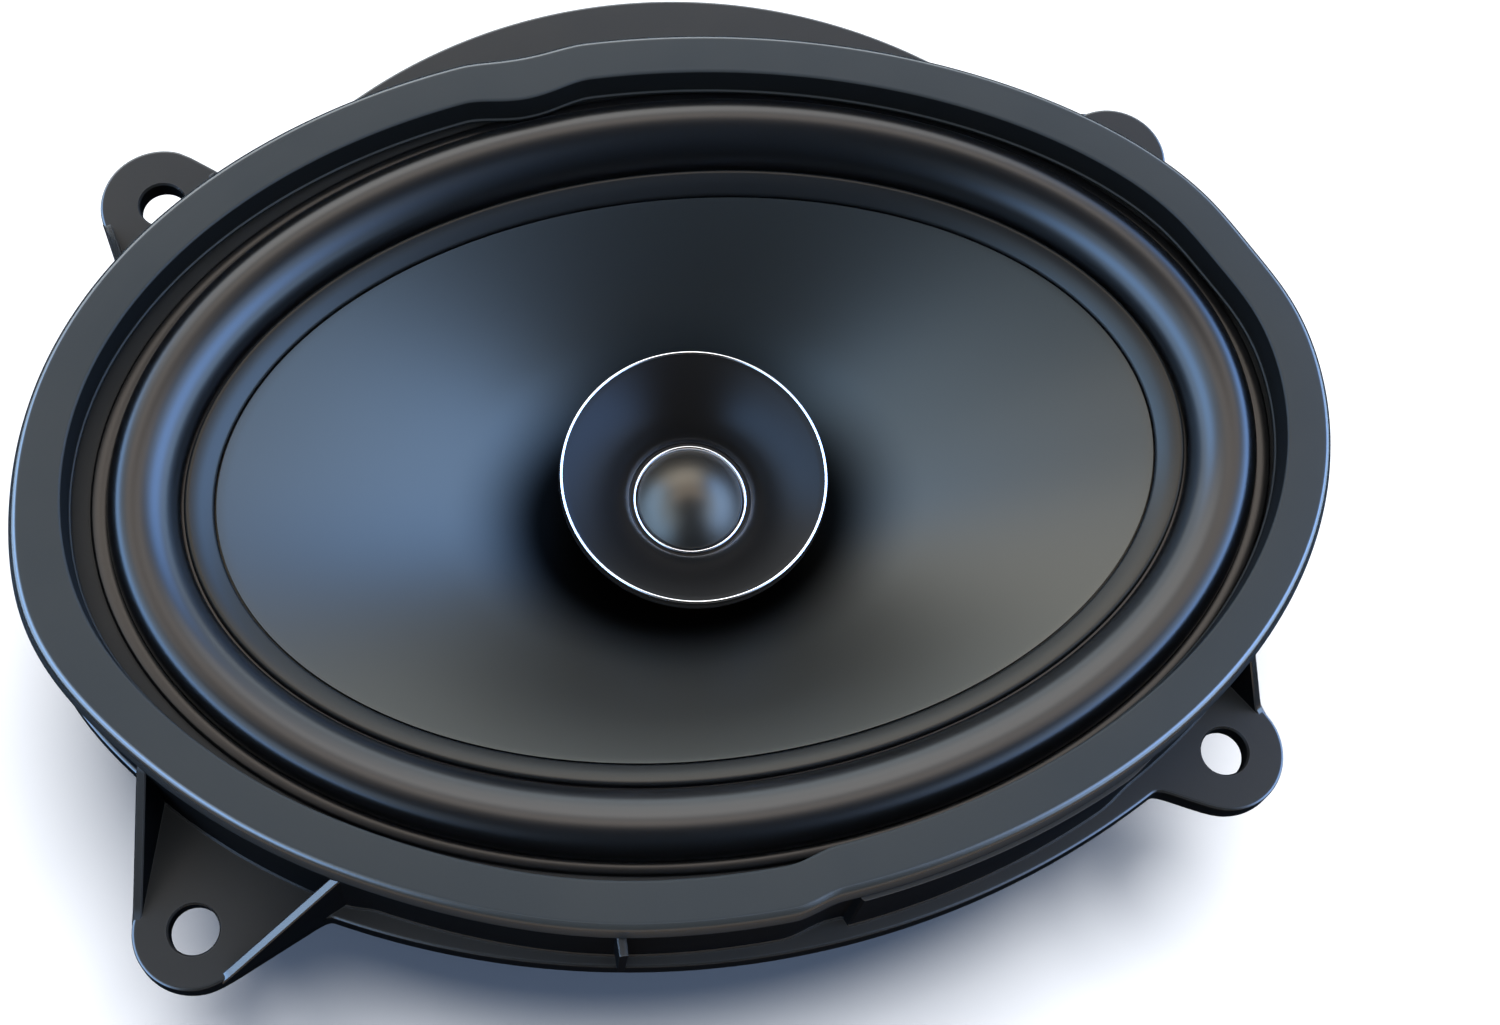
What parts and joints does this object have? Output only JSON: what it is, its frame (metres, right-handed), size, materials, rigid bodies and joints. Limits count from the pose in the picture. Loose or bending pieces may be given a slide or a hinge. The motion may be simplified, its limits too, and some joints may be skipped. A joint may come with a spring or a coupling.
{
  "type": "coaxial car speaker",
  "caption": "Oval coaxial car speaker: a cone on a rubber surround in an eared plastic frame, with a horn-loaded dome tweeter on a central stem.",
  "frame": {"origin": "centre of the magnet's rear face, on the speaker's axis", "axes": "+Z along the axis towards the listener, +X along the long axis of the oval, +Y towards the connector lobe"},
  "size_m": [0.236, 0.1931, 0.093],
  "materials": {
    "frame_plastic": "moulded satin plastic, dark slate grey",
    "ring_plastic": "moulded satin plastic, dark slate grey",
    "foam": "closed-cell foam",
    "rubber": "smooth rubber with a soft gloss",
    "cone_finish": "smooth satin moulded cone",
    "spider_cloth": "resin-dipped woven cloth",
    "former_film": "amber polyimide film",
    "copper_wire": "enamelled copper wire",
    "plated_steel": "zinc-plated steel",
    "ferrite": "sintered ferrite",
    "neodymium": "nickel-plated neodymium",
    "horn_plastic": "satin black moulded plastic",
    "bright_trim": "polished bright ring",
    "dome_film": "satin coated dome",
    "tinned_brass": "tin-plated brass",
    "tinsel": "braided copper tinsel",
    "wire_coat": "black insulated wire",
    "capacitor_film": "blue film sleeve"
  },
  "bodies": {
    "frame": {"basket": "frame_plastic", "front_ring": "ring_plastic", "flange_gasket": "foam", "surround": "rubber", "spider": "spider_cloth", "top_plate": "plated_steel", "magnet": "ferrite", "yoke": "plated_steel", "plate_rivet_1": "plated_steel", "plate_rivet_2": "plated_steel", "plate_rivet_3": "plated_steel", "plate_rivet_4": "plated_steel", "rear_plug": "horn_plastic", "tweeter_stem": "plated_steel", "stem_nut": "plated_steel", "tweeter_housing": "horn_plastic", "tweeter_back_cap": "horn_plastic", "horn_trim_ring": "bright_trim", "dome_trim_ring": "bright_trim", "tweeter_pole_plate": "plated_steel", "tweeter_magnet": "neodymium", "tweeter_cup": "plated_steel", "terminal_block": "horn_plastic", "terminal_positive": "tinned_brass", "terminal_negative": "tinned_brass", "tinsel_lead_positive": "tinsel", "tinsel_lead_negative": "tinsel", "tweeter_wire_positive": "wire_coat", "tweeter_wire_negative": "wire_coat", "crossover_capacitor": "capacitor_film"},
    "cone_assembly": {"cone": "cone_finish", "voice_coil_former": "former_film", "voice_coil_winding": "copper_wire"},
    "tweeter_diaphragm": {"tweeter_dome": "dome_film", "tweeter_coil": "copper_wire"}
  },
  "joints": [
    {"name": "cone_travel", "type": "slide", "parent": "frame", "child": "cone_assembly", "axis": [0, 0, 1], "range_m": [-0.004, 0.004], "stiffness_N_per_m": 1800, "deforming": ["surround", "spider", "tinsel_lead_positive", "tinsel_lead_negative"]},
    {"name": "tweeter_travel", "type": "slide", "parent": "frame", "child": "tweeter_diaphragm", "axis": [0, 0, 1], "range_m": [-0.00025, 0.00025], "stiffness_N_per_m": 3000}
  ]
}
